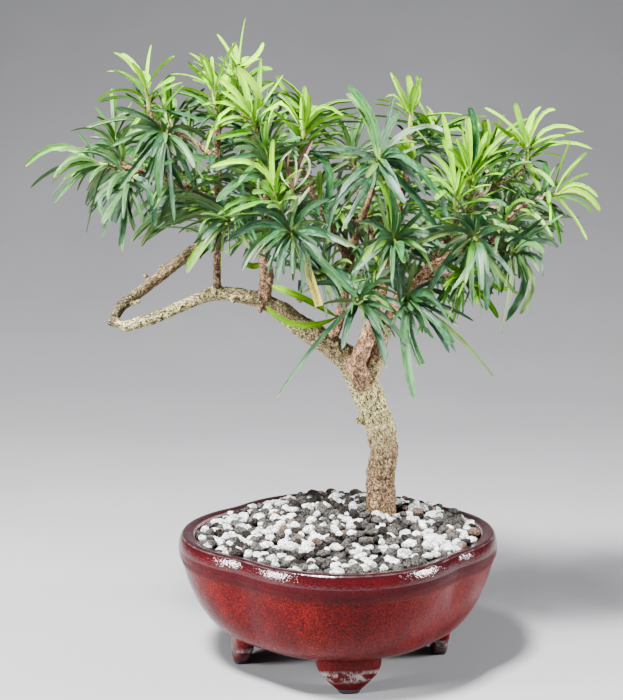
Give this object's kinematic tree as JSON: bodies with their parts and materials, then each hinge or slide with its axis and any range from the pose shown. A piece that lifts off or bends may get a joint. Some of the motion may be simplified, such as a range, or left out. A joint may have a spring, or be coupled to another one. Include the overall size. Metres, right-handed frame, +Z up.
{
  "type": "buddhist pine bonsai",
  "caption": "Buddhist pine bonsai: leaning trunk, a long left limb with a hairpin turn and strap-leaved shoots, in a glazed lobed pot on feet, topped with gravel.",
  "frame": {"origin": "on the table's surface, under the middle of the whole bonsai's bounding box; the pot's axis is 18.5 mm to +X of it", "axes": "+Z up, along the trunk's general run; -Y is the front that the picture shows; +X is the viewer's right"},
  "size_m": [0.357, 0.2072, 0.4088],
  "materials": {
    "oxblood_glaze": "glossy mottled dark red glaze, with bare dark clay under the feet",
    "black_plastic": "matte",
    "potting_soil": "rough, crumbly",
    "pumice_and_lava": "rough, dry, white and dark grey grains",
    "bark": "rough scaly bark with pale lichen",
    "young_leaf": "soft sheen",
    "mature_leaf": "waxy sheen"
  },
  "bodies": {
    "root": {"pot": "oxblood_glaze", "drain_screen": "black_plastic", "soil": "potting_soil", "gravel": "pumice_and_lava", "tree": "bark", "shoot_left_top": "young_leaf", "shoot_left_upper": "mature_leaf", "shoot_left_tip": "mature_leaf", "shoot_left_hanging": "mature_leaf", "shoot_left_inner": "mature_leaf", "shoot_top_left": "young_leaf", "shoot_top_tall": "young_leaf", "shoot_top_front": "mature_leaf", "shoot_centre_left": "mature_leaf", "shoot_bud_left": "young_leaf", "shoot_top_centre": "young_leaf", "shoot_centre": "mature_leaf", "shoot_top_right": "young_leaf", "shoot_right_bud": "young_leaf", "shoot_right_tall": "young_leaf", "shoot_right_top": "young_leaf", "shoot_right_tip": "young_leaf", "shoot_right_hanging": "mature_leaf", "shoot_right_low": "mature_leaf", "shoot_left_low": "mature_leaf", "shoot_left_low_side": "mature_leaf", "shoot_right_low_bud": "young_leaf", "shoot_right_middle": "mature_leaf", "shoot_centre_low": "mature_leaf", "shoot_low": "mature_leaf", "shoot_inner_low": "mature_leaf", "shoot_back_left_top": "mature_leaf", "shoot_back_left": "mature_leaf", "shoot_back_left_low": "mature_leaf", "shoot_back_top_left": "young_leaf", "shoot_back_upper_left": "mature_leaf", "shoot_back_low_left": "mature_leaf", "shoot_back_top": "young_leaf", "shoot_back_centre": "mature_leaf", "shoot_back_centre_low": "mature_leaf", "shoot_back_top_right": "young_leaf", "shoot_back_right_top": "young_leaf", "shoot_back_right": "mature_leaf", "shoot_back_right_tip": "mature_leaf", "shoot_back_right_low": "mature_leaf", "shoot_back_low": "mature_leaf", "shoot_right_side": "mature_leaf"}
  },
  "joints": []
}
